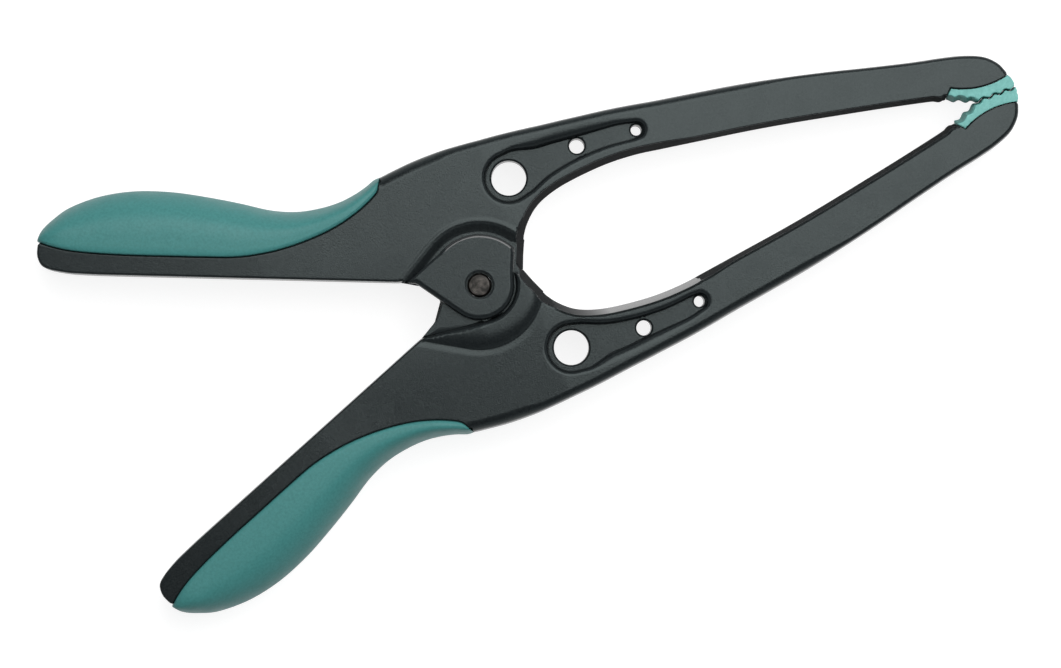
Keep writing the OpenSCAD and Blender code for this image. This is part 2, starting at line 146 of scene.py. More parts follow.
def inward(line):
    d = along(line)
    return np.stack([-d[:, 1], d[:, 0]], axis=1)


def distance(points, line):
    """Distance of each point from the line."""
    a, ab = line[:-1], np.diff(line, axis=0)
    length2 = np.maximum((ab**2).sum(axis=1), 1e-12)
    out = np.empty(len(points))
    for i in range(0, len(points), 4000):
        ap = points[i : i + 4000, None, :] - a[None]
        t = np.clip((ap * ab).sum(axis=2) / length2, 0, 1)
        out[i : i + 4000] = np.sqrt(((ap - t[..., None] * ab) ** 2).sum(axis=2).min(axis=1))
    return out


def inside(points, loop):
    x, y = points[:, 0:1], points[:, 1:2]
    a, b = loop, np.roll(loop, -1, axis=0)
    crosses = (a[:, 1] > y) != (b[:, 1] > y)
    with np.errstate(divide="ignore", invalid="ignore"):
        at = (b[:, 0] - a[:, 0]) * (y - a[:, 1]) / (b[:, 1] - a[:, 1]) + a[:, 0]
    return (crosses & (x < at)).sum(axis=1) % 2 == 1


def smooth(x):
    x = np.clip(x, 0, 1)
    return x * x * (3 - 2 * x)


def unit(degrees):
    return np.array([math.cos(math.radians(degrees)), math.sin(math.radians(degrees))])


# ---- Outline of the upper arm --------------------------------------------------------


def on_handle(rows):
    """Points on the upper handle: s along its inner edge from the pivot, n out from it."""
    s, n = np.asarray(rows, float).reshape(-1, 2).T
    c, d = math.cos(HANDLE_ANGLE), math.sin(HANDLE_ANGLE)
    return np.stack([-s * c + n * d, s * d + n * c], axis=1)


SEAM_ROWS = [
    (101.4, 7.4), (100.4, 7.1), (98, 6.4), (93.7, 5.6), (87, 5.1), (79, 4.9), (71, 4.9),
    (63, 4.9), (55.5, 5.1), (48.5, 6.3), (42.5, 8.15), (37, 10.5), (32.5, 13),
    (28.8, 15.7), (26, 18.3), (24.1, 20.6), (23.7, 22.6),
]
CROWN_ROWS = [
    (101.6, 8), (100.8, 10.2), (98.6, 12.6), (94.6, 15.6), (87.5, 18.4), (79.5, 19.75),
    (71, 19.7), (63, 18.75), (55.5, 17.5), (48.5, 16.1), (42.5, 15.9), (37.3, 16.8),
    (33, 18.2), (29.6, 20), (27, 21.8), (24.9, 23.6), (23.5, 24.2),
]
BUTT_ROWS = [
    (101.4, 7.4), (101.6, 4.75), (101.1, 2.9), (100.1, 1.6), (98.1, 0.85), (95.4, 0.4),
    (92.7, 0.15), (87, 0),
]
MOUTH_ROWS = [
    (13.5, 7.3), (15, 9.4), (17.5, 11.8), (20.5, 13.5), (25, 14.85),
    (31, 15.7), (37.5, 16.1), (44, 15.8), (50, 14.95), (59.7, 13.5), (70.3, 11.9),
    (80, 10.2), (90.5, 8.15), (100.2, 6.2), (110, 4.1), (115.2, 2.88),
]
OUTER_ROWS = [
    (-12.9, 31.25), (-10, 31.6), (-6, 32), (-3, 32.15), (0, 32.2), (3, 32.15), (6, 31.95),
    (9, 31.7), (11.5, 31.45), (14.5, 31.2), (17, 30.95), (20, 30.6), (23, 30.2),
    (26, 29.8), (28.5, 29.5), (31, 29.2), (34, 28.8), (38, 28.3), (43, 27.6),
    (48, 26.75), (52.4, 25.95), (61.75, 24.45), (71.9, 22.75), (81.2, 20.85),
    (91.3, 18.55), (101, 16.1), (110.75, 13.75), (117.5, 12.35), (122.5, 11.05),
    (126.6, 9.3), (129.2, 6.8), (130.3, 4.4), (130.55, 3.42),
]

NOSE = np.array([125.6, 20.7])
NOSE_R = 18.0


def nose_y(x, r=NOSE_R):
    return NOSE[1] - np.sqrt(r * r - (x - NOSE[0]) ** 2)


STEP = 0.7
SIDE_END = on_handle([(17.9, 0.15)])[0]
SIDE_TURN = math.atan2(SIDE_END[1], SIDE_END[0]) - math.acos(RECESS_R / math.hypot(*SIDE_END))
SIDE_NORMAL = np.array([math.cos(SIDE_TURN), math.sin(SIDE_TURN)])
SIDE_START = (RECESS_R - 0.01) * SIDE_NORMAL

seam = curve(on_handle(SEAM_ROWS), 6)
crown = curve(on_handle(CROWN_ROWS), 6)
handle_line = even(
    chain(curve(on_handle(BUTT_ROWS), 8), on_handle([(20, 0), (18.6, 0.02)]), [SIDE_END]), STEP
)
# The root stands a little prouder than the rest of the mouth
mouth_line = chain(
    even([(10.6, 0.02), (11.75, 3), (12.95, 5.7), (13.25, 6.3)], STEP),
    even([(13.25, 6.3), (13.1, 6.45), (13.5, 7.3)], 0.3),
    even(curve(MOUTH_ROWS, 8), STEP),
)
# One small tooth stands just behind the pad
TOOTH_X, TOOTH_RISE, TOOTH_HALF = 113.6, 0.4, 0.75
mouth_line[:, 1] -= TOOTH_RISE * np.exp(-(((mouth_line[:, 0] - TOOTH_X) / TOOTH_HALF) ** 2))
SEAT_X = 116.81
seat_line = chain(
    even([mouth_line[-1], (115.5, 3.5), (SEAT_X, 4.99)], 0.4),
    [(x, nose_y(x)) for x in np.linspace(SEAT_X, OUTER_ROWS[-1][0], 22)],
)
outer_line = even(curve(OUTER_ROWS, 6), STEP)[::-1]
seam_line = chain(
    [outer_line[-1], seam[-1]], even(seam, STEP)[::-1], on_handle([SEAM_ROWS[0]])
)


class Edge:
    """One stretch of an outline, with the solid on its left. The wall leans in by draft
    from the middle plane to the face, and a round of that radius joins the two."""

    def __init__(self, line, draft, radius):
        self.line, self.draft, self.radius = line, draft, radius

    def sizes(self, x):
        draft = self.draft(x) if callable(self.draft) else np.full(len(x), self.draft)
        radius = self.radius(x) if callable(self.radius) else np.full(len(x), self.radius)
        return draft, radius

    def height(self, points, face, d=None):
        d = distance(points, self.line) if d is None else d
        draft, radius = self.sizes(points[:, 0])
        wall = (face - radius) * d / np.maximum(draft, 1e-6)
        across = np.clip(radius + draft - d, 0, radius)
        rounded = face - radius + np.sqrt(radius**2 - across**2)
        return np.where(d < draft, wall, rounded)

    def rings(self):
        """Points of the mesh along the wall's head and its round."""
        draft, radius = self.sizes(self.line[:, 0])
        to = inward(self.line)
        shares = [1 - math.cos(math.radians(a)) for a in (0, 14, 30, 48, 68, 90)]
        offsets = [draft * 0.5] if draft.max() > 0.5 else []
        offsets += [draft + radius * s for s in shares]
        offsets += [draft + radius + o for o in (0.12, 0.24, 0.45)]
        return np.concatenate([self.line + o[:, None] * to for o in offsets])


def mouth_draft(x):
    return 1.7 - 0.4 * smooth((x - 12) / 3) - 0.4 * smooth((x - 50) / 8)


def outer_round(x):
    return 2.6 - 0.7 * smooth((x + 2) / 8) - 0.9 * smooth((x - 70) / 15)


edges = {
    "handle": Edge(chain(handle_line, even(on_handle([(17.9, 0), (10.7, 0)]), STEP)), 0.25, 0.55),
    "mouth": Edge(mouth_line, mouth_draft, 0.25),
    "seat": Edge(seat_line, 0.03, 0.3),
    "outer": Edge(outer_line, 0.3, outer_round),
    "seam": Edge(seam_line, 0.05, 0.4),
}

# ---- Surfaces of an arm ---------------------------------------------------------------


def butt_fall(s):
    """How far the handle's faces fall towards its end, s from the pivot."""
    return 1.45 * np.clip((s - 48) / 53, 0, 1) ** 2


def crown_fall(x, y):
    """The faces of the body and jaw fall by about a degree towards their outer side."""
    t = y - np.interp(x, [15, 32, 45, 60, 80, 110], [13, 16, 16, 13.5, 10.2, 4])
    slope = np.interp(x, [-45, -28, 10, 40, 100, 112], [0, 0.023, 0.023, 0.017, 0.017, 0])
    return slope * (t + np.sqrt(t * t + 9)) / 2


def half_thickness(points):
    x, y = points.T
    share = np.clip((x - ROOM_R) / (JAW_REACH - ROOM_R), 0, 1)
    s = y * math.sin(HANDLE_ANGLE) - x * math.cos(HANDLE_ANGLE)
    return BODY_HALF + (TIP_HALF - BODY_HALF) * share - butt_fall(s) - crown_fall(x, y)


HOLES = [(14.75, 20.7, 4.0), (31.9, 22.2, 1.75), (45.9, 20.9, 1.25)]
WELL_FLOOR = 7.5


def well_wall(points):
    """Width of the recess's rounded wall: wide along its outer side."""
    x, y = points.T
    outer = smooth(0.5 + (y - np.interp(x, [14.75, 31.9, 45.9], [20.7, 22.5, 20.9])) / 2.5)
    return 1.45 + 1.5 * outer * smooth((x - 16) / 8) * (1 - smooth((x - 31) / 17))


well_loop = closed(
    even(
        chain(
            arc(HOLES[0][:2], 6.7, 100, 285, 24),
            curve([(19.5, 15), (24.3, 16.9), (30.8, 18.1), (38, 18.4), (44.5, 17.8)], 6),
            arc(HOLES[2][:2], 3.2, -75, 72, 14),
            curve([(42, 25.4), (33.6, 27), (25, 27.8), (17.7, 27.8)], 6),
            arc(HOLES[0][:2], 6.7, 100, 101, 1)[:1],
        ),
        0.6,
    )
)
well_line = np.concatenate([well_loop, well_loop[:1]])


def with_well(points, face):
    d = distance(points, well_line)
    share = np.where(inside(points, well_loop), np.clip(d / well_wall(points), 0, 1), 0)
    return face - (face - WELL_FLOOR) * (1 - np.cbrt(1 - share**3))


def hole_loop(hole):
    x, y, r = hole
    return arc((x, y), r, 360, 0, max(24, int(r * 12)))[:-1]


def with_holes(points, face):
    """A small chamfer round each hole."""
    for x, y, r in HOLES:
        d = np.hypot(points[:, 0] - x, points[:, 1] - y) - r
        face = face - 0.35 * (1 - smooth(d / 0.45))
    return face


# The groove round the cheek and the collar round the recess run round the pivot as far as
# these angles in degrees, and straight on from there
GROOVE_TURN = 121.0
COLLAR_TURN = 119.9
GROOVE_R, GROOVE_WALL, GROOVE_DEPTH = 12.2, 2.0, 1.0
BEAD_R, BEAD_HALF, BEAD_RISE = 14.8, 0.45, 0.12
DISH_R, DISH_FOOT = 9.4, 9.8
CREST_R, FLANK_R = 9.7, 14.7


def run_out(points, turn):
    """Distance out from the pivot as far as that turn, and from a straight line past it."""
    x, y = points.T
    past = np.degrees(np.arctan2(y, x)) > turn
    return np.where(past, points @ unit(turn), np.hypot(x, y))


def run_line(r, start, turn, length):
    """The line at that distance, from the start in degrees to a length past the turn."""
    out = unit(turn)
    ahead = np.array([-out[1], out[0]])
    return chain(
        arc((0, 0), r, start, turn, 60), [r * out + t * ahead for t in range(1, length)]
    )


def outer_face(points):
    """The side of the arm that carries the cheek."""
    run = run_out(points, GROOVE_TURN)
    face = half_thickness(points) - GROOVE_DEPTH * (1 - smooth((run - GROOVE_R) / GROOVE_WALL))
    face = face + BEAD_RISE * np.exp(-(((run - BEAD_R) / BEAD_HALF) ** 2))
    return with_holes(points, with_well(points, face))


def inner_face(points):
    """The side with the recess for the other arm's cheek, and the collar round it."""
    x, y = points.T
    r, angle = np.hypot(x, y), np.degrees(np.arctan2(y, x))
    face = half_thickness(points)
    out = run_out(points, COLLAR_TURN)
    turned = angle > math.degrees(SIDE_TURN)
    foot = np.where(turned, points @ SIDE_NORMAL, r) - RECESS_R
    crest = HUB_HALF - 0.65 * smooth((angle - 100) / 50)
    rise = np.clip(foot / (DISH_R - RECESS_R), 0, 1)
    dish = DISH_FOOT + (crest - DISH_FOOT) * np.sqrt(1 - (1 - rise) ** 2)
    # From the crest a rounded flank falls away to a shallow valley in the face
    flank = np.clip((out - CREST_R) / (FLANK_R - CREST_R), 0, 1)
    valley = face - 0.12 * (1 - smooth((out - FLANK_R) / 1.8))
    collar = np.where(out < FLANK_R, crest - (crest - valley) * flank**3.3, valley)
    collar = np.minimum(collar, np.where(out < FLANK_R, dish, face))
    face = np.where(y > -2, collar, face)
    # A fine notch runs just inside the edge of the mouth
    past_edge = np.abs(distance(points, mouth_line) - mouth_draft(x) - 0.3)
    face = face - 0.3 * (1 - smooth(past_edge / 0.22)) * smooth((x - 13) / 3)
    return with_holes(points, with_well(points, face))


# ---- Meshes ----------------------------------------------------------------------------


LEAST_WALL = 0.01


class Mesh:
    """Vertices, faces, vertex normals and face materials, added up piece by piece."""

    def __init__(self):
        self.points, self.normals, self.faces, self.slots = [], [], [], []
        self.count = 0

    def add(self, points, normals, faces, slots=None):
        self.points.append(np.asarray(points, float))
        self.normals.append(np.asarray(normals, float))
        self.faces += [tuple(int(i) + self.count for i in f) for f in faces]
        self.slots += list(slots) if slots is not None else [0] * len(faces)
        self.count += len(points)

    def build(self, name, materials, turned=False):
        points = np.concatenate(self.points)
        normals = np.concatenate(self.normals)
        if turned:  # the same moulding, turned over about the long axis
            points = points * [1, -1, -1] + [0, 0, 2 * MID]
            normals = normals * [1, -1, -1]
        mesh = bpy.data.meshes.new(name)
        mesh.from_pydata((points * MM).tolist(), [], self.faces)
        for material in materials:
            mesh.materials.append(material)
        mesh.polygons.foreach_set("material_index", self.slots)
        mesh.polygons.foreach_set("use_smooth", [True] * len(mesh.polygons))
        normals /= np.maximum(np.linalg.norm(normals, axis=1, keepdims=True), 1e-9)
        mesh.normals_split_custom_set_from_vertices(normals.tolist())
        mesh.update()
        obj = bpy.data.objects.new(name, mesh)
        bpy.context.scene.collection.objects.link(obj)
        return obj


def spread(groups):
    """Points of the groups, each (points, gap before, gap own): gap before is kept from
    the points of earlier groups, and gap own from those of the same group."""
    cell = 0.5
    cells, kept = {}, []

    def taken(p, placed, gap):
        i, j = math.floor(p[0] / cell), math.floor(p[1] / cell)
        reach = max(1, math.ceil(gap / cell))
        return gap > 0 and any(
            (p[0] - q[0]) ** 2 + (p[1] - q[1]) ** 2 < gap * gap
            for a in range(i - reach, i + reach + 1)
            for b in range(j - reach, j + reach + 1)
            for q in placed.get((a, b), ())
        )

    for points, before, own in groups:
        placed = {}
        for p in points.tolist():
            if taken(p, cells, before) or taken(p, placed, own):
                continue
            placed.setdefault((math.floor(p[0] / cell), math.floor(p[1] / cell)), []).append(p)
            kept.append(p)
        for key, found in placed.items():
            cells.setdefault(key, []).extend(found)
    return kept


def triangles(points, loops):
    """Triangles over the points, inside the first loop and outside the others. The loops'
    points come first in the list."""
    constraints, start = [], 0
    for loop in loops:
        n = len(loop)
        constraints += [(start + k, start + (k + 1) % n) for k in range(n)]
        start += n
    found = delaunay_2d_cdt(points, constraints, [], 0, 1e-5, False)
    xy = np.array([tuple(v) for v in found[0]])
    tris = np.array([f for f in found[2] if len(f) == 3])
    centre = xy[tris].mean(axis=1)
    ok = inside(centre, loops[0])
    for loop in loops[1:]:
        ok &= ~inside(centre, loop)
    tris = tris[ok]
    a, b, c = (xy[tris[:, k]] for k in range(3))
    area = (b[:, 0] - a[:, 0]) * (c[:, 1] - a[:, 1]) - (b[:, 1] - a[:, 1]) * (c[:, 0] - a[:, 0])
    tris[area < 0] = tris[area < 0][:, ::-1]
    return xy, tris[np.abs(area) > 1e-7]


def clear(points, loops, gap):
    """The points inside the first loop and outside the others, by more than the gap."""
    ok = inside(points, loops[0])
    for loop in loops[1:]:
        ok &= ~inside(points, loop)
    points = points[ok]
    for loop in loops:
        points = points[distance(points, np.concatenate([loop, loop[:1]])) > gap]
    return points


def relief_points(loops, follow, features, grid):
    """Points of a surface: the loops', close points on the lines to follow, fewer on the
    features, and a grid over the rest."""
    low, high = loops[0].min(axis=0), loops[0].max(axis=0)
    rows = np.arange(low[1], high[1], grid * 0.87)
    cells = [
        (x + (grid / 2 if k % 2 else 0), y)
        for k, y in enumerate(rows)
        for x in np.arange(low[0], high[0], grid)
    ]
    cells = np.array(cells).reshape(-1, 2)
    groups = [(np.concatenate(loops), 0, 0), (clear(cells, loops, grid * 0.3), grid * 0.5, 0)]
    if len(features):
        groups.insert(1, (clear(np.concatenate(features), loops, 0.12), 0.2, 0.035))
    if len(follow):
        groups.insert(1, (clear(np.concatenate(follow), loops, 0.08), 0, 0.06))
    return spread(groups)


def relief_normals(xy, loops, height):
    """Normals from the height's slopes, taken a little inside the loops, where the height
    is defined."""
    probe = xy.copy()
    for loop in loops:
        line = np.concatenate([loop, loop[:1]])
        at_edge = distance(xy, line) < 0.03
        d = np.roll(loop, -1, axis=0) - np.roll(loop, 1, axis=0)
        turn = np.stack([-d[:, 1], d[:, 0]], axis=1)
        turn /= np.maximum(np.linalg.norm(turn, axis=1, keepdims=True), 1e-9)
        for i in np.nonzero(at_edge)[0]:
            k = np.argmin(((loop - xy[i]) ** 2).sum(axis=1))
            probe[i] = xy[i] + 0.04 * turn[k]
    e = 0.02
    slope_x = (height(probe + [e, 0]) - height(probe - [e, 0])) / (2 * e)
    slope_y = (height(probe + [0, e]) - height(probe - [0, e])) / (2 * e)
    return np.stack([-slope_x, -slope_y, np.full(len(xy), 1.0)], axis=1)


def relief_wall(mesh, side, loop, top, base, slot):
    """Straight walls under the loop, from its own heights down to base. Their normals run
    on smoothly except at sharp corners."""
    if (top - base).max() < LEAST_WALL:
        return
    n = len(loop)
    nxt = np.roll(loop, -1, axis=0)
    d = nxt - loop
    out = np.stack([d[:, 1], -d[:, 0]], axis=1)
    out /= np.maximum(np.linalg.norm(out, axis=1, keepdims=True), 1e-9)
    before = np.roll(out, 1, axis=0)
    level = (out * before).sum(axis=1) > 0.6
    n0 = np.where(level[:, None], out + before, out)
    after = np.roll(level, -1)
    n1 = np.where(after[:, None], out + np.roll(out, -1, axis=0), out)
    top_next = np.roll(top, -1)
    foot = np.full(n, MID + side * base)
    points = np.concatenate(
        [
            np.column_stack([loop, MID + side * top]),
            np.column_stack([nxt, MID + side * top_next]),
            np.column_stack([nxt, foot]),
            np.column_stack([loop, foot]),
        ]
    )
    flat = np.zeros((n, 1))
    normals = np.concatenate([np.hstack([m, flat]) for m in (n0, n1, n1, n0)])
    quads = [
        (k, k + n, k + 2 * n, k + 3 * n)[::-side]
        for k in range(n)
        if max(top[k], top_next[k]) - base > LEAST_WALL
    ]
    mesh.add(points, normals, quads, [slot] * len(quads))


def relief(
    mesh, side, loops, height, base, follow=(), features=(), grid=1.3, slot_of=None,
    wall_slot=GRAINED,
):
    """A closed shell: a surface at height(points) over the loops (the outline, then the
    holes), straight walls down to base, and a flat base. side is 1 for a surface that
    faces up, and -1 for one that faces down."""
    xy, tris = triangles(relief_points(loops, follow, features, grid), loops)
    points = np.column_stack([xy, MID + side * height(xy)])
    normals = relief_normals(xy, loops, height) * [1, 1, side]
    slots = slot_of(xy[tris].mean(axis=1)) if slot_of else None
    mesh.add(points, normals, [t[::side] for t in tris], slots)
    for loop in loops:
        relief_wall(mesh, side, loop, height(loop), base, wall_slot)
    xy, tris = triangles(np.concatenate(loops).tolist(), loops)
    points = np.column_stack([xy, np.full(len(xy), MID + side * base)])
    normals = np.tile([0.0, 0.0, -float(side)], (len(xy), 1))
    mesh.add(points, normals, [t[::-side] for t in tris], [wall_slot] * len(tris))


def rings_surface(mesh, rings, cap=True):
    """A tube through closed rings of equal length, with flat ends."""
    rings = np.asarray(rings, float)
    m, n = rings.shape[:2]
    along_ring = np.roll(rings, -1, axis=1) - np.roll(rings, 1, axis=1)
    along_tube = np.gradient(rings, axis=0)
    normals = np.cross(along_ring, along_tube)
    faces = [
        (i * n + k, i * n + (k + 1) % n, (i + 1) * n + (k + 1) % n, (i + 1) * n + k)
        for i in range(m - 1)
        for k in range(n)
    ]
    # All normals face out: compare one ring's with the way out from its middle
    out = rings[m // 2] - rings[m // 2].mean(axis=0)
    if (normals[m // 2] * out).sum() < 0:
        normals = -normals
        faces = [f[::-1] for f in faces]
    mesh.add(rings.reshape(-1, 3), normals.reshape(-1, 3), faces)
    if cap:
        for ring, before in ((rings[0], rings[1]), (rings[-1], rings[-2])):
            way = (ring - before).mean(axis=0)
            face = list(range(n))
            a = ring - ring.mean(axis=0)
            area = np.cross(a, np.roll(a, -1, axis=0)).sum(axis=0)
            if (area * way).sum() < 0:
                face = face[::-1]
            mesh.add(ring, np.tile(way, (n, 1)), [face])


def lathe(profile, n=48, centre=(0, 0)):
    """Closed rings of a turned shape from its (radius, z) profile."""
    a = np.linspace(0, 2 * math.pi, n, endpoint=False)
    return [
        np.stack(
            [centre[0] + r * np.cos(a), centre[1] + r * np.sin(a), np.full(n, z)], axis=1
        )
        for r, z in profile
    ]


# ---- Arm --------------------------------------------------------------------------------

hub_room = chain(
    arc((0, 0), ROOM_R, ROOM_END, ROOM_START, 30), arc((0, 0), 9.95, 26, 0.3, 8)
)
# The recess's edge keeps clear of the other arm's cheek where it reaches the mouth
hub_recess = chain(arc((0, 0), RECESS_R, math.degrees(SIDE_TURN), 3, 29), [(8.6, 0.02)])
room_side = even([SIDE_END, hub_room[0]], 0.7)
recess_side = even([SIDE_END, SIDE_START], 0.7)

outer_side_loop = closed(
    handle_line, room_side, hub_room, mouth_line, seat_line, outer_line, seam_line
)
inner_side_loop = closed(
    handle_line, recess_side, hub_recess, mouth_line, seat_line, outer_line, seam_line
)


def body_height(face):
    def height(points):
        level = face(points)
        return np.minimum.reduce([e.height(points, level) for e in edges.values()])

    return height


WELL_SHARES = (0.01, 0.15, 0.3, 0.45, 0.57, 0.68, 0.78, 0.86, 0.92, 0.96, 0.985, 1, 1.06, 1.2)
GROOVE_LINES = (
    11.8, 12.2, 12.4, 12.65, 12.9, 13.2, 13.5, 13.75, 14, 14.2, 14.45, 14.8, 15.1, 15.4, 15.8,
)
COLLAR_LINES = (
    8.4, 8.6, 8.9, 9.4, 10, 10.7, 11.4, 11.9, 12.4, 12.8, 13.2, 13.6, 13.95, 14.25, 14.5,
    14.7, 14.9, 15.3, 15.8, 16.5,
)


def body_rings():
    return [e.rings() for e in edges.values()]


def groove_rings():
    return [run_line(r, 5, GROOVE_TURN, 14) for r in GROOVE_LINES]


def collar_rings():
    return [run_line(r, 1, COLLAR_TURN, 13) for r in COLLAR_LINES]


def well_rings():
    to = inward(well_line)[:-1] * well_wall(well_loop)[:, None]
    return [well_loop + share * to for share in WELL_SHARES]


def hole_rings():
    return [
        arc((x, y), r + o, 0, 360, max(24, int(r * 12)))[:-1]
        for x, y, r in HOLES
        for o in (0.1, 0.22, 0.34, 0.46, 0.8)
    ]


def rough_shaded_mouth(points):
    """The walls of the mouth are rough, and their weak reflection paints them dark as shade."""
    in_wall = distance(points, mouth_line) < mouth_draft(points[:, 0])
    return np.where(in_wall, ROUGH_SHADED, GRAINED)


# On the inner side a stretch of the mouth's wall is polished
POLISH_START, POLISH_END = 14.5, 47.0


def smooth_mouth(points):
    x, d = points[:, 0], distance(points, mouth_line)
    slots = rough_shaded_mouth(points)
    polished = (x > POLISH_START) & (x < POLISH_END + d) & (slots == ROUGH_SHADED)
    return np.where(polished, POLISHED, slots)


def arm_sides(mesh):
    """The two halves of the moulding, which meet in the middle plane."""
    hollows = well_rings() + hole_rings()
    holes = [hole_loop(h) for h in HOLES]
    # Close points at the far end of the polished stretch keep that edge straight
    polish_end = [even([(POLISH_END, 15.3), (48.4, 17.1)], 0.09)]
    relief(
        mesh, 1, [outer_side_loop, *holes], body_height(outer_face), 0, body_rings(),
        hollows + groove_rings(), slot_of=rough_shaded_mouth,
    )
    relief(
        mesh, -1, [inner_side_loop, *holes], body_height(inner_face), 0,
        body_rings() + polish_end, hollows + collar_rings(), slot_of=smooth_mouth,
    )


def hub_plates(mesh):
    """The face's own layer goes on over the wedge beside the hub, and a low step of it
    under the cheek's end at the mouth."""
    plate = closed(
        [SIDE_END], even(on_handle([(17.8, 0), (10.8, 0)]), 0.7),
        arc((0, 0), ROOM_R, 157, ROOM_END, 8), room_side[::-1],
    )
    face_layer = body_height(outer_face)
    # Its walls take the rough plastic, painted dark as shade
    relief(
        mesh, 1, [plate], lambda p: np.maximum(face_layer(p), CHEEK_FOOT), CHEEK_FOOT,
        body_rings(), groove_rings(), wall_slot=ROUGH_SHADED,
    )
    step = [(8.2, 0.1), (8.95, 0.1), (9.75, 2.3), (10.9, 5.0), (11.3, 6.3), (10.0, 7.0), (8.2, 5)]
    relief(
        mesh, 1, [even(step + step[:1], 0.5)[:-1]], lambda p: np.full(len(p), 10.1), 9.5, grid=3
    )


def cheek(mesh):
    """The cheek on the outer side, with the loose hole that shows the pin's end."""
    low = arc((0, 0), 8.0, 215, 339, 48)
    rim = chain(
        even([(-15.6, 6.25), (-13.6, 5.4), low[0]], 0.7), low,
        even([low[-1], (8.15, -0.6), (8.75, 0.9), (9.6, 2.9), (10.45, 5.0)], 0.7),
    )
    shoulder = chain(
        [(10.45, 5.0)], arc((0, 0), 11.7, 27, 121, 48), even([(-6.1, 9.98), (-15.6, 6.25)], 0.7)
    )
    rim_edge = Edge(rim, 0.05, 1.2)
    shoulder_edge = Edge(shoulder, 0.05, 0.75)

    def height(points):
        r = np.hypot(points[:, 0], points[:, 1])
        level = HUB_HALF - 0.1 * (1 - smooth((r - SLOT_R) / 0.12))
        top = np.minimum(rim_edge.height(points, level), shoulder_edge.height(points, level))
        return np.maximum(top, CHEEK_FOOT)

    def glossy_highlight_shoulder(points):
        # A smoother band of the shoulder, lighter and more reflective where the light catches it:
        # a painted highlight
        near = (distance(points, shoulder) < 0.8) & (points[:, 0] > -4.5)
        return np.where(near, SMOOTH_HIGHLIGHT, GRAINED)

    turns = [arc((0, 0), SLOT_R + o, 0, 360, 72)[:-1] for o in (0.04, 0.08, 0.12, 0.4)]
    relief(
        mesh, 1, [closed(rim, shoulder), arc((0, 0), SLOT_R, 360, 0, 72)[:-1]], height,
        CHEEK_FOOT, [rim_edge.rings(), shoulder_edge.rings()], turns, slot_of=glossy_highlight_shoulder,
    )


def web(mesh):
    """Round web under the other arm's cheek, and the boss that centres the coil."""
    loop = closed(
        arc((0, 0), WEB_R, 174, 363, 90),
        [(9, 8), (-1.5, 8.6)],
        SIDE_END,
        on_handle([(17.4, 0.05)]),
        curve(
            [
                (-15.4, 6.05), (-14.15, 5.3), (-12.75, 4.45), (-11.45, 3.35), (-10.45, 2.1),
                (-WEB_R, 1.03),
            ],
            3,
        ),
    )
    edge = Edge(np.concatenate([loop, loop[:1]]), 0.02, 0.3)
    # The web's walls and base take the rough plastic, painted dark as shade under the cheek
    relief(
        mesh, -1, [loop, arc((0, 0), PIN_BORE_R, 360, 0, 48)[:-1]],
        lambda p: np.maximum(edge.height(p, np.full(len(p), WEB_TOP)), WEB_FOOT), WEB_FOOT,
        [edge.rings()], grid=2, wall_slot=ROUGH_SHADED,
    )
    boss = [(PIN_BORE_R, 6.1), (4.8, 6.1), (4.8, 11.5), (4.5, 11.8), (PIN_BORE_R, 11.8)]
    rings_surface(mesh, lathe(boss), cap=False)


def wedge(mesh):
    """The wedge beside the hub, where the walls of the room go on above the web."""
    loop = closed(
        on_handle([(17.8, 0.1), (14, 0.05), (10.8, 0.05)]),
        arc((0, 0), ROOM_R, 156, ROOM_END, 8), [SIDE_END],
    )
    # The wedge's walls and base take the rough plastic, painted dark as shade
    relief(
        mesh, 1, [loop], lambda p: np.full(len(p), WEDGE_TOP), WEDGE_FOOT, grid=3,
        wall_slot=ROUGH_SHADED,
    )


def arm_mesh():
    mesh = Mesh()
    for part in (arm_sides, hub_plates, cheek, web, wedge):
        part(mesh)
    return mesh


# ---- Grip -------------------------------------------------------------------------------


def grip_ring(i, from_butt, from_front):
    """The grip's section at one point of the seam, out to the crown and back below."""
    seam_r = 0.55
    wide = np.linalg.norm(crown[i] - seam[i])
    out = (crown[i] - seam[i]) / wide
    reach = seam[i] @ [-math.cos(HANDLE_ANGLE), math.sin(HANDLE_ANGLE)]
    h = HUB_HALF - butt_fall(reach)
    h -= 3.4 * (1 - math.sqrt(max(0, 1 - max(0, 1 - from_butt / 9) ** 2)))
    h -= 0.6 * (1 - smooth(from_front / 8))
    r = min(seam_r, wide * 0.3)
    # The face rises from the seam to a level share of its width, less where it is narrow
    level = 0.34
    rise = 0.12 * smooth(wide / 13)
    low = h - rise - 0.1
    # A fine crease, closed at its foot against the arm
    side = [(-0.02, 0), (-0.02, (low - r) * 0.5), (-0.02, low - r - 0.7), (0.1, low - r - 0.15)]
    side += [
        (0.1 + r * (1 - math.cos(a)), low - r + r * math.sin(a))
        for a in np.radians([12, 35, 58, 80])
    ]
    for u in (0.08, 0.14, 0.2, 0.27, level):
        at = max(u * wide, r + 0.12)
        side.append((at, h - rise * ((level - u) / level) ** 2))
    for a in np.radians(np.linspace(7, 90, 15)):
        u = level + (1 - level) * math.sin(a) ** 0.87
        side.append((u * wide, h * math.cos(a)))
    ring = [(*(seam[i] + d * out), MID + z) for d, z in side]
    return ring + [(*(seam[i] + d * out), MID - z) for d, z in side[-2:0:-1]]


def grip_mesh():
    mesh = Mesh()
    from_butt = np.linalg.norm(crown - crown[0], axis=1)
    from_front = np.linalg.norm(crown - crown[-1], axis=1)
    rings = [grip_ring(i, from_butt[i], from_front[i]) for i in range(len(seam))]
    rings_surface(mesh, rings)
    return mesh


# ---- Jaw pad ------------------------------------------------------------------------------


PAD_LENGTH = 15.6
TOOTH_PITCH = 2.6
WAVE_HALF = 0.28


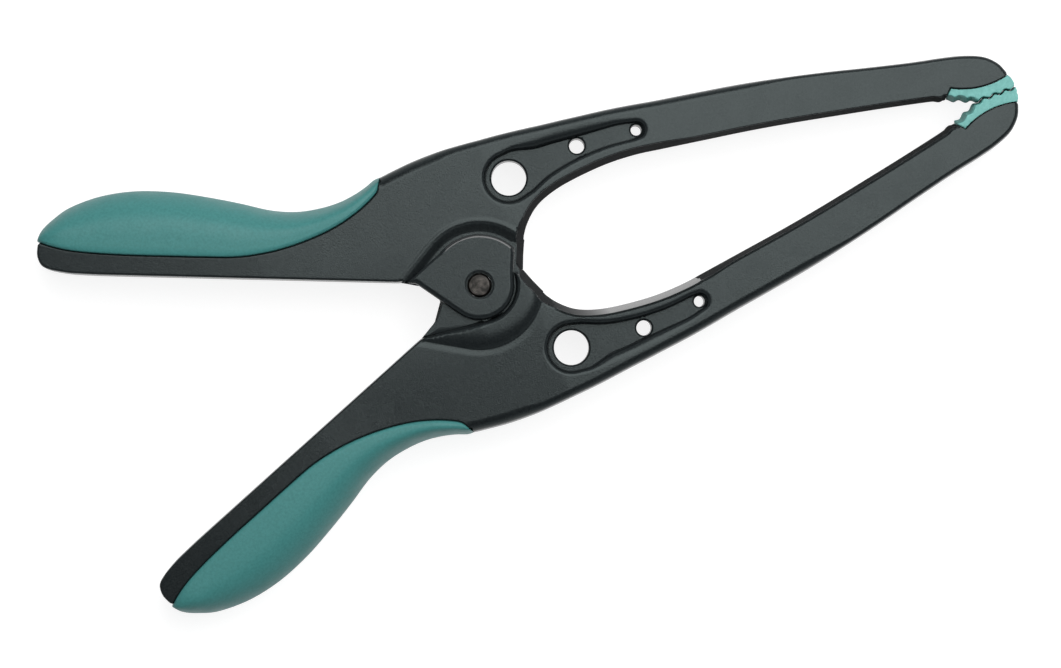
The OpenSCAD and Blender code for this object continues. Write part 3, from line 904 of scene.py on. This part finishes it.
def pad_mesh(turn):
    """One pad. Its teeth are a wave, which turn = -1 shifts by half a pitch."""
    mesh = Mesh()
    back = np.arange(PAD_LENGTH, -0.01, -0.2)
    opening = np.maximum(0, back - 9.5) * 0.42
    wave = turn * WAVE_HALF * np.cos(2 * math.pi * back / TOOTH_PITCH)
    bite = np.stack([JAW_REACH - back, 0.02 + opening + wave], axis=1)
    x = np.linspace(130.35, 116.95, 22)
    rest = chain(
        [bite[-1], (JAW_REACH, 0.9), (130.9, 1.9), (130.65, 2.7)],
        np.stack([x, nose_y(x, NOSE_R + 0.005)], axis=1),
        [(SEAT_X, 4.97), (115.51, 3.48), bite[0]],
    )
    bite_edge = Edge(bite, lambda x: 0.9 - 0.7 * smooth((x - 119) / 5), 0.3)
    rest_edge = Edge(rest, 0.03, 0.3)
    loop = closed(bite, rest)

    def height(points):
        level = np.full(len(points), TIP_HALF)
        return np.minimum(bite_edge.height(points, level), rest_edge.height(points, level))

    for side in (1, -1):
        relief(mesh, side, [loop], height, 0, [bite_edge.rings(), rest_edge.rings()], grid=0.6)
    return mesh


# ---- Pin and spring ---------------------------------------------------------------------------


def pin_mesh():
    mesh = Mesh()
    end = [
        (0.01, 0.3), (0.8, 0.31), (1.6, 0.33), (2.1, 0.36), (2.3, 0.4), (2.45, 0.5),
        (2.6, 0.75), (2.72, 1.1),
    ]
    profile = end + [(PIN_R, z) for z in (1.4, 8, 16, 22.6)]
    profile += [(r, 2 * MID - z) for r, z in end[::-1]]
    rings_surface(mesh, lathe(profile, 64), cap=False)
    return mesh


def spring_mesh():
    """Left-handed coil with two straight legs along the handles."""
    wire_r, coil_r, turns = 1.0, 6.5, 3
    start_z, end_z = 7.5, 16.5
    first = 90 - math.degrees(HANDLE_ANGLE)
    last = -first - 360 * turns
    angles = np.radians(np.linspace(first, last, 80))
    z = np.linspace(start_z, end_z, len(angles))
    coil = np.stack([coil_r * np.cos(angles), coil_r * np.sin(angles), z], axis=1)
    leg = on_handle([(s, coil_r) for s in (30, 20, 10, 3)])
    upper_leg = np.column_stack([leg, np.full(len(leg), start_z)])
    lower_leg = np.column_stack([leg * [1, -1], np.full(len(leg), end_z)])
    path = np.concatenate([upper_leg, coil, lower_leg[::-1]])
    ahead = np.gradient(path, axis=0)
    ahead /= np.linalg.norm(ahead, axis=1, keepdims=True)
    side = np.cross(ahead, [0, 0, 1])
    side /= np.linalg.norm(side, axis=1, keepdims=True)
    up = np.cross(side, ahead)
    a = np.linspace(0, 2 * math.pi, 14, endpoint=False)
    rings = [
        p + wire_r * (np.cos(a)[:, None] * s + np.sin(a)[:, None] * u)
        for p, s, u in zip(path, side, up)
    ]
    mesh = Mesh()
    rings_surface(mesh, rings)
    return mesh


# ---- Materials -----------------------------------------------------------------------------


class Material:
    """A Principled material with its node tree, built up by name."""

    def __init__(self, name, roughness, specular=0.5, metallic=0.0):
        self.material = bpy.data.materials.new(name)
        self.material.use_nodes = True
        self.nodes = self.material.node_tree.nodes
        self.links = self.material.node_tree.links
        self.shader = self.nodes["Principled BSDF"]
        self.shader.inputs["Roughness"].default_value = roughness
        self.shader.inputs["Specular IOR Level"].default_value = specular
        self.shader.inputs["Metallic"].default_value = metallic
        self.place = self.nodes.new("ShaderNodeTexCoord").outputs["Object"]

    def noise(self, size_mm, detail=2.0):
        node = self.nodes.new("ShaderNodeTexNoise")
        node.inputs["Scale"].default_value = 1000 / size_mm
        node.inputs["Detail"].default_value = detail
        self.links.new(self.place, node.inputs["Vector"])
        return node.outputs["Fac"]

    def tones(self, value, low, high, start=0.35, end=0.65):
        """Base colour that runs between two tones with the value."""
        node = self.nodes.new("ShaderNodeValToRGB")
        node.color_ramp.elements[0].position = start
        node.color_ramp.elements[0].color = (*low, 1)
        node.color_ramp.elements[1].position = end
        node.color_ramp.elements[1].color = (*high, 1)
        self.links.new(value, node.inputs["Fac"])
        self.links.new(node.outputs["Color"], self.shader.inputs["Base Color"])
        return self

    def roughness(self, value, low, high):
        node = self.nodes.new("ShaderNodeMapRange")
        node.inputs["From Min"].default_value = 0.3
        node.inputs["From Max"].default_value = 0.7
        node.inputs["To Min"].default_value = low
        node.inputs["To Max"].default_value = high
        self.links.new(value, node.inputs["Value"])
        self.links.new(node.outputs["Result"], self.shader.inputs["Roughness"])
        return self

    def bump(self, value, height_mm, strength=1.0):
        node = self.nodes.new("ShaderNodeBump")
        node.inputs["Strength"].default_value = strength
        node.inputs["Distance"].default_value = height_mm * MM
        self.links.new(value, node.inputs["Height"])
        self.links.new(node.outputs["Normal"], self.shader.inputs["Normal"])
        return self


def plastic():
    m = Material("arm_plastic", roughness=0.27, specular=0.26)
    m.shader.inputs["Specular Tint"].default_value = (0.86, 1.0, 0.99, 1)
    m.tones(m.noise(0.42, 2), (0.007, 0.009, 0.01), (0.015, 0.018, 0.019), 0.3, 0.7)
    m.roughness(m.noise(5, 2), 0.25, 0.29)
    m.bump(m.noise(0.28, 1), 0.026)
    return m.material


def highlight_smooth_plastic():
    # Smoother plastic with a lighter tone and stronger reflection, a painted highlight on the
    # cheek's shoulder
    m = Material("arm_plastic_smooth_highlight", roughness=0.14)
    m.tones(m.noise(10, 2), (0.02, 0.022, 0.023), (0.025, 0.027, 0.028))
    m.bump(m.noise(3, 1), 0.004)
    return m.material


def polished_plastic():
    """Polished wall of the mouth, that turns dull towards the root."""
    m = Material("arm_plastic_polished", roughness=0.25, specular=0.2)
    m.tones(m.noise(10, 2), (0.014, 0.016, 0.017), (0.018, 0.02, 0.021))
    split = m.nodes.new("ShaderNodeSeparateXYZ")
    m.links.new(m.place, split.inputs[0])
    dull = m.nodes.new("ShaderNodeMapRange")
    dull.inputs["From Min"].default_value = 0.015
    dull.inputs["From Max"].default_value = 0.026
    dull.inputs["To Min"].default_value = 0.8
    dull.inputs["To Max"].default_value = 0.25
    m.links.new(split.outputs["X"], dull.inputs["Value"])
    m.links.new(dull.outputs["Result"], m.shader.inputs["Roughness"])
    return m.material


def rough_shaded_plastic():
    # Rough plastic with its reflection turned nearly off: painted shade that keeps the walls it
    # covers dark
    m = Material("arm_plastic_rough_shaded", roughness=0.8, specular=0.05)
    m.tones(m.noise(0.42, 2), (0.009, 0.01, 0.011), (0.02, 0.022, 0.023), 0.3, 0.7)
    m.bump(m.noise(0.4, 1), 0.04)
    return m.material


def grip_rubber():
    m = Material("grip_rubber", roughness=0.5, specular=0.3)
    m.tones(m.noise(0.6, 2), (0.041, 0.182, 0.173), (0.051, 0.216, 0.207), 0.3, 0.7)
    m.roughness(m.noise(4, 2), 0.45, 0.53)
    m.bump(m.noise(0.5, 1), 0.02)
    return m.material


def pad_rubber():
    m = Material("pad_rubber", roughness=0.6, specular=0.3)
    m.tones(m.noise(0.7, 2), (0.137, 0.375, 0.345), (0.187, 0.465, 0.43), 0.3, 0.7)
    m.bump(m.noise(0.55, 2), 0.05)
    return m.material


def turned_steel():
    m = Material("pin_steel", roughness=0.4, metallic=0.85)
    m.tones(m.noise(1.2, 3), (0.018, 0.017, 0.0155), (0.06, 0.055, 0.05), 0.4, 0.6)
    wave = m.nodes.new("ShaderNodeTexWave")
    wave.wave_type = "RINGS"
    wave.rings_direction = "Z"
    wave.inputs["Scale"].default_value = 900
    wave.inputs["Distortion"].default_value = 1.5
    m.links.new(m.place, wave.inputs["Vector"])
    m.bump(wave.outputs["Fac"], 0.03)
    return m.material


def spring_steel():
    m = Material("spring_steel", roughness=0.3, metallic=1.0)
    m.tones(m.noise(3, 2), (0.42, 0.42, 0.43), (0.55, 0.55, 0.56))
    m.bump(m.noise(0.3, 1), 0.006)
    return m.material


# ---- Pieces -----------------------------------------------------------------------------


def place(obj, body, node):
    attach(obj, body)
    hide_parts(node)


arm_materials = [plastic(), highlight_smooth_plastic(), rough_shaded_plastic(), polished_plastic()]
arm = arm_mesh()
place(arm.build("upper_arm_moulding", arm_materials), "upper_lever", "upper_arm")
place(
    arm.build("lower_arm_moulding", arm_materials, turned=True),
    "lower_lever", "lower_arm",
)
grip = grip_mesh()
grip_materials = [grip_rubber()]
place(grip.build("upper_grip_moulding", grip_materials), "upper_lever", "upper_grip")
place(
    grip.build("lower_grip_moulding", grip_materials, turned=True),
    "lower_lever", "lower_grip",
)
pad_materials = [pad_rubber()]
place(
    pad_mesh(1).build("upper_pad_moulding", pad_materials),
    "upper_lever", "upper_jaw_pad",
)
place(
    pad_mesh(-1).build("lower_pad_moulding", pad_materials, turned=True),
    "lower_lever", "lower_jaw_pad",
)
place(pin_mesh().build("turned_pin", [turned_steel()]), "lower_lever", "pivot_pin")
spring = spring_mesh().build("coil_spring", [spring_steel()])
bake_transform(spring)
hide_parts("torsion_spring")

# ---- Floor, light and camera ----------------------------------------------------------------


# The photo's ground is white, so the floor glows for the camera and in reflections alone
FLOOR_HALF = 4.0
FLOOR_GLOW = 0.86


def floor():
    mesh = bpy.data.meshes.new("floor")
    s = FLOOR_HALF
    mesh.from_pydata([(-s, -s, 0), (s, -s, 0), (s, s, 0), (-s, s, 0)], [], [(0, 1, 2, 3)])
    obj = bpy.data.objects.new("floor", mesh)
    bpy.context.scene.collection.objects.link(obj)
    obj.location.z = -0.0002
    material = bpy.data.materials.new("floor")
    material.use_nodes = True
    nodes, links = material.node_tree.nodes, material.node_tree.links
    shader = nodes["Principled BSDF"]
    shader.inputs["Base Color"].default_value = (0.3, 0.3, 0.3, 1)
    shader.inputs["Roughness"].default_value = 0.9
    shader.inputs["Specular IOR Level"].default_value = 0.1
    path = nodes.new("ShaderNodeLightPath")
    seen = nodes.new("ShaderNodeMath")
    seen.operation = "MAXIMUM"
    links.new(path.outputs["Is Camera Ray"], seen.inputs[0])
    links.new(path.outputs["Is Glossy Ray"], seen.inputs[1])
    glow = nodes.new("ShaderNodeMath")
    glow.operation = "MULTIPLY"
    glow.inputs[1].default_value = FLOOR_GLOW
    links.new(seen.outputs[0], glow.inputs[0])
    shader.inputs["Emission Color"].default_value = (1, 1, 1, 1)
    links.new(glow.outputs[0], shader.inputs["Emission Strength"])
    mesh.materials.append(material)


def world():
    """A white sweep low down all round, under a dark ceiling."""
    w = bpy.data.worlds.new("studio")
    bpy.context.scene.world = w
    w.use_nodes = True
    nodes, links = w.node_tree.nodes, w.node_tree.links
    background = nodes["Background"]
    background.inputs["Color"].default_value = (0.92, 0.97, 1.0, 1)
    split = nodes.new("ShaderNodeSeparateXYZ")
    links.new(nodes.new("ShaderNodeTexCoord").outputs["Generated"], split.inputs[0])
    level = nodes.new("ShaderNodeMapRange")
    level.interpolation_type = "SMOOTHSTEP"
    level.inputs["From Min"].default_value = 0.1
    level.inputs["From Max"].default_value = 0.65
    level.inputs["To Min"].default_value = 0.8
    level.inputs["To Max"].default_value = 0.06
    links.new(split.outputs["Z"], level.inputs["Value"])
    links.new(level.outputs["Result"], background.inputs["Strength"])


# The camera looks straight down, turned by this angle about the vertical, and one pixel of
# the photo is PIXEL wide on the object
PICTURE_TURN = math.radians(20.29)
PICTURE_UP = np.array([math.sin(PICTURE_TURN), math.cos(PICTURE_TURN)])
PICTURE_RIGHT = np.array([math.cos(PICTURE_TURN), -math.sin(PICTURE_TURN)])
PICTURE_WIDTH = 1061
PIXEL = 0.23 * MM
VIEW_CENTRE = np.array([7.06, -14.5]) * MM
CAMERA_AWAY = 1.5
SENSOR = 36


def softbox(name, up, right, height, size, watts):
    """An area light that faces the object, placed by the picture's own directions."""
    light = bpy.data.lights.new(name, "AREA")
    light.shape = "RECTANGLE"
    light.size, light.size_y = size
    light.energy = watts
    obj = bpy.data.objects.new(name, light)
    bpy.context.scene.collection.objects.link(obj)
    xy = VIEW_CENTRE + up * PICTURE_UP + right * PICTURE_RIGHT
    obj.location = (*xy, height)
    way = obj.location.copy()
    way.x -= VIEW_CENTRE[0]
    way.y -= VIEW_CENTRE[1]
    obj.rotation_euler = way.to_track_quat("Z", "Y").to_euler()


def camera():
    data = bpy.data.cameras.new("camera")
    data.sensor_width = SENSOR
    data.lens = SENSOR * CAMERA_AWAY / (PICTURE_WIDTH * PIXEL)
    data.clip_end = 10
    obj = bpy.data.objects.new("camera", data)
    bpy.context.scene.collection.objects.link(obj)
    obj.location = (*VIEW_CENTRE, MID * MM + CAMERA_AWAY)
    obj.rotation_euler = (0, 0, -PICTURE_TURN)
    bpy.context.scene.camera = obj


floor()
world()
softbox("top_softbox", up=0.327, right=0.145, height=0.81, size=(0.8, 0.78), watts=9.7)
camera()
bpy.context.scene.view_settings.view_transform = "Standard"
